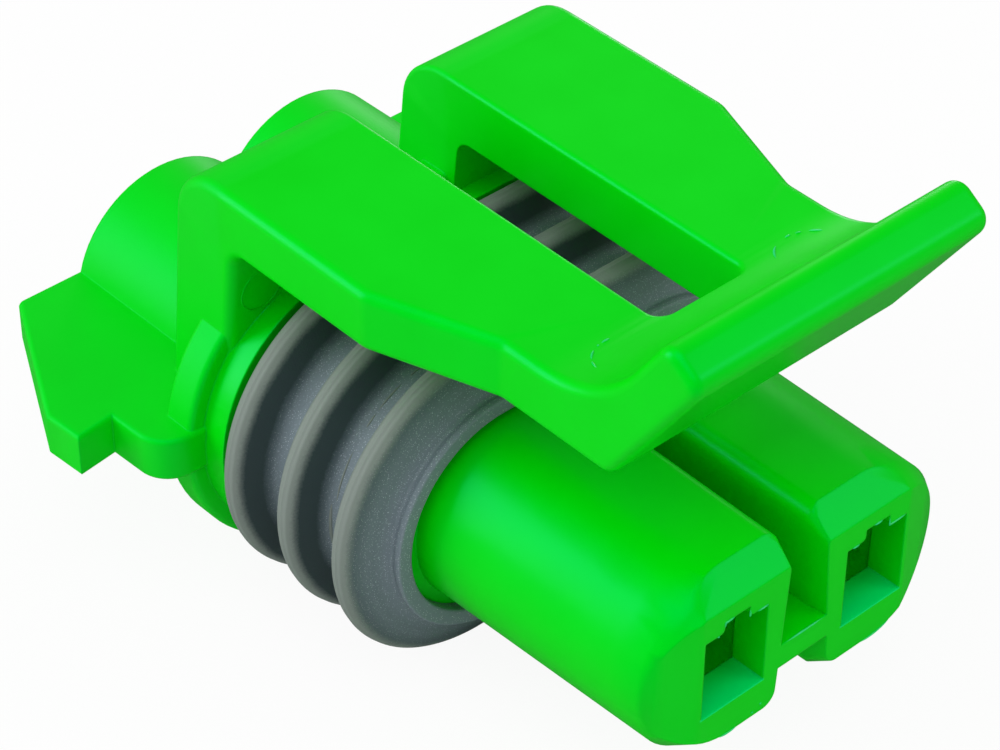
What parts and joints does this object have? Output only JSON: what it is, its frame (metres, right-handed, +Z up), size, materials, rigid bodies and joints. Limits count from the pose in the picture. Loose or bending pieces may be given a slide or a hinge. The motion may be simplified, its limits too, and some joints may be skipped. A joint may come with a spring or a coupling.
{
  "type": "sealed automotive connector",
  "caption": "Sealed wire-to-wire socket connector with stadium-shaped ribbed ring seal, round cable tubes, barbed side wings and a raised spring latch with a thumb lip.",
  "frame": {"origin": "on the axis midway between the two ways, in the plane of the mating face", "axes": "+Y runs from the mating face back to the cable end, +X across the two ways, +Z up towards the latch"},
  "size_m": [0.0272, 0.0316, 0.0213],
  "materials": {
    "housing": "moulded satin gloss",
    "ring_seal": "matt, finely speckled",
    "cable_seal": "matt",
    "contact": "plain stamped sheet"
  },
  "bodies": {
    "root": {"housing": "housing", "interface_seal": "ring_seal", "cable_seal_left": "cable_seal", "cable_seal_right": "cable_seal", "contact_left": "contact", "contact_right": "contact"}
  },
  "joints": []
}
